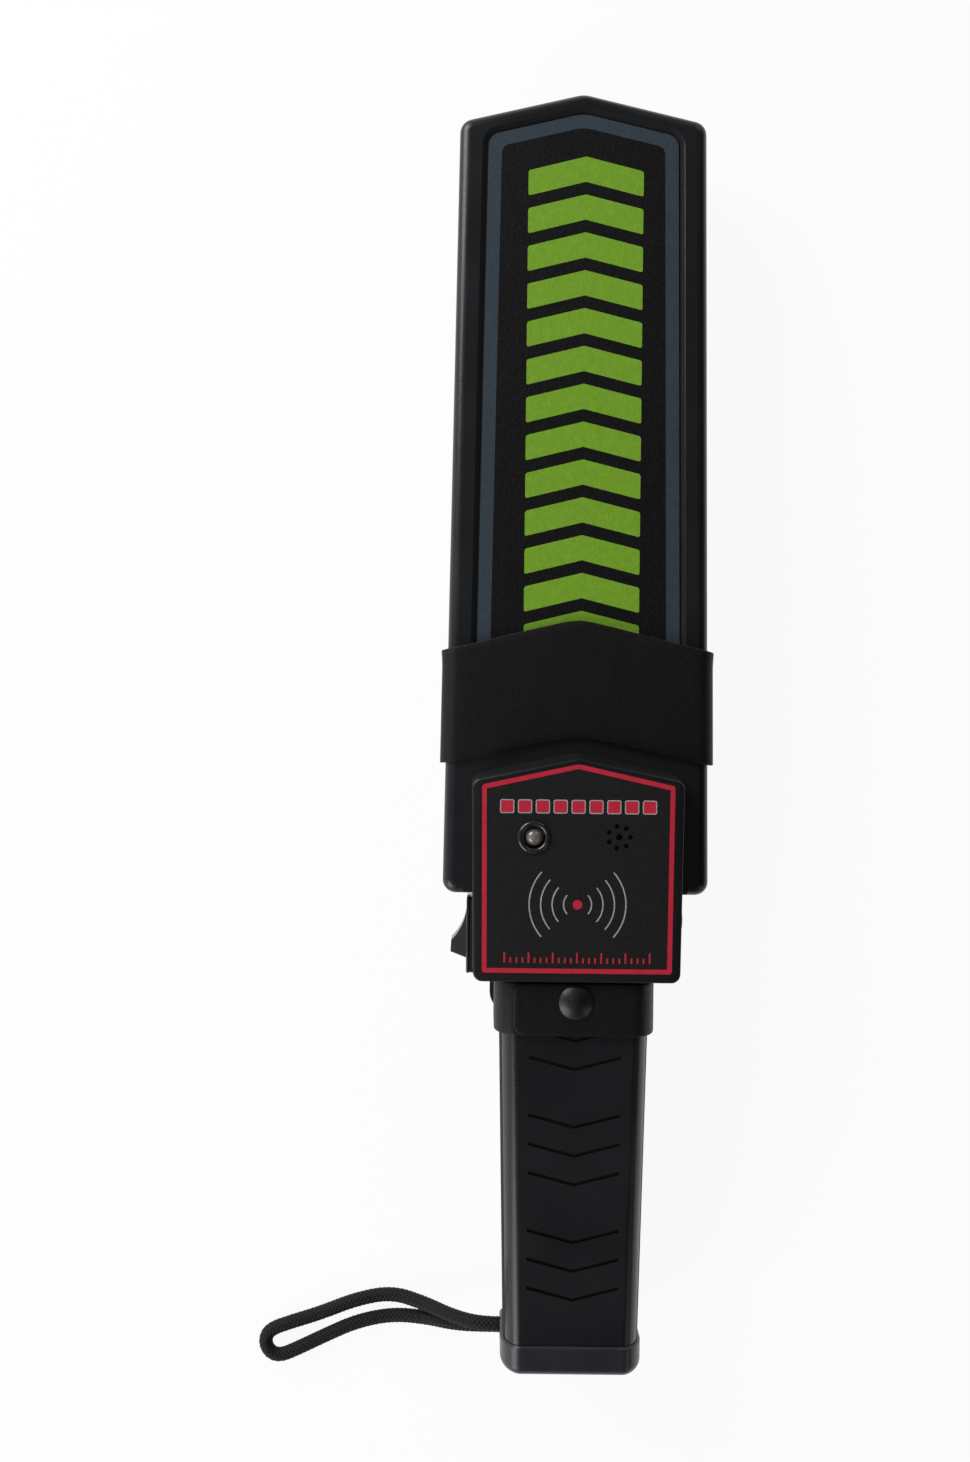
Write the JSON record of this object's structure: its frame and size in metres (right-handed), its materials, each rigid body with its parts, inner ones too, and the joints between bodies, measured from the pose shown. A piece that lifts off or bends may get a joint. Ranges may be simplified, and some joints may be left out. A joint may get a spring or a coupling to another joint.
{
  "type": "security metal detector wand",
  "caption": "Hand-held security metal detector with a flat search paddle, a control box, a grooved handle with a wrist cord, and a leather belt holster with a snapped neck strap.",
  "frame": {"origin": "under the middle of the wand, on the outer face of the holster's belt loop", "axes": "the wand lies on its back: +Y at the tip of the search paddle, +Z out of the front face, +X to the right seen from the front"},
  "size_m": [0.1491, 0.4234, 0.0504],
  "materials": {
    "housing_black": "moulded, fine satin grain",
    "cover_black": "moulded, satin, brighter at its bevel",
    "printed_film": "printed polyester film, fine texture",
    "trim_gloss": "polished black",
    "lamp_lens": "milky, diffusing",
    "button_red": "gloss",
    "board_green": "solder resist",
    "chip_black": "moulded epoxy",
    "former_grey": "moulded",
    "winding_copper": "enamelled wire",
    "lead_rubber": "smooth",
    "pad_rubber": "foam",
    "screw_steel": "zinc plated",
    "nut_nickel": "nickel plated",
    "weight_brass": "turned",
    "battery_can": "wrapped, satin",
    "cord_black": "braided",
    "leather_black": "fine pebbled grain, satin",
    "rivet_nickel": "nickel plated",
    "snap_black": "baked black enamel"
  },
  "bodies": {
    "wand": {"front_housing": "housing_black", "rear_housing": "housing_black", "control_cover": "cover_black", "panel_label": "printed_film", "paddle_label": "printed_film", "led_bezel": "trim_gloss", "led_lens": "lamp_lens", "buzzer": "chip_black", "control_board": "board_green", "board_parts": "chip_black", "board_screws": "screw_steel", "cover_screws": "screw_steel", "housing_screws": "screw_steel", "coil_former": "former_grey", "search_coil": "winding_copper", "coil_lead": "lead_rubber", "switch_frame": "trim_gloss", "button_bezel": "trim_gloss", "button_switch": "chip_black", "headphone_jack": "chip_black", "jack_nut": "nut_nickel", "vibration_motor": "screw_steel", "battery": "battery_can", "battery_connector": "chip_black", "battery_lead": "lead_rubber", "holster_band": "leather_black", "holster_back": "leather_black", "belt_loop": "leather_black", "holster_rivets": "rivet_nickel", "neck_strap_left": "leather_black", "neck_strap_right": "leather_black", "snap_stud": "rivet_nickel"},
    "rocker": {"power_rocker": "trim_gloss"},
    "button": {"push_button": "button_red"},
    "cap": {"end_cap": "housing_black", "battery_pad": "pad_rubber", "lanyard_knot": "cord_black", "lanyard_cord": "cord_black"},
    "strap_flap": {"neck_strap_flap": "leather_black", "snap_cap": "snap_black", "snap_socket": "rivet_nickel"},
    "weight": {"motor_weight": "weight_brass"}
  },
  "joints": [
    {"name": "power_rocker_pivot", "type": "hinge", "parent": "wand", "child": "rocker", "pos_m": [-0.0315, -0.0665, 0.026], "axis": [0, 0, 1], "range_deg": [0, 26]},
    {"name": "push_button_slide", "type": "slide", "parent": "wand", "child": "button", "axis": [-1, 0, 0], "range_m": [0, 0.0015], "stiffness_N_per_m": 400, "springref_m": -0.0005},
    {"name": "end_cap_slide", "type": "slide", "parent": "wand", "child": "cap", "axis": [0, -1, 0], "range_m": [0, 0.012]},
    {"name": "strap_flap_bend", "type": "hinge", "parent": "wand", "child": "strap_flap", "pos_m": [0.01869, -0.088, 0.0469], "axis": [0, 1, 0], "range_deg": [0, 150]},
    {"name": "motor_weight_spin", "type": "hinge", "parent": "wand", "child": "weight", "pos_m": [0.0066, -0.062, 0.016], "axis": [1, 0, 0], "continuous": true}
  ]
}
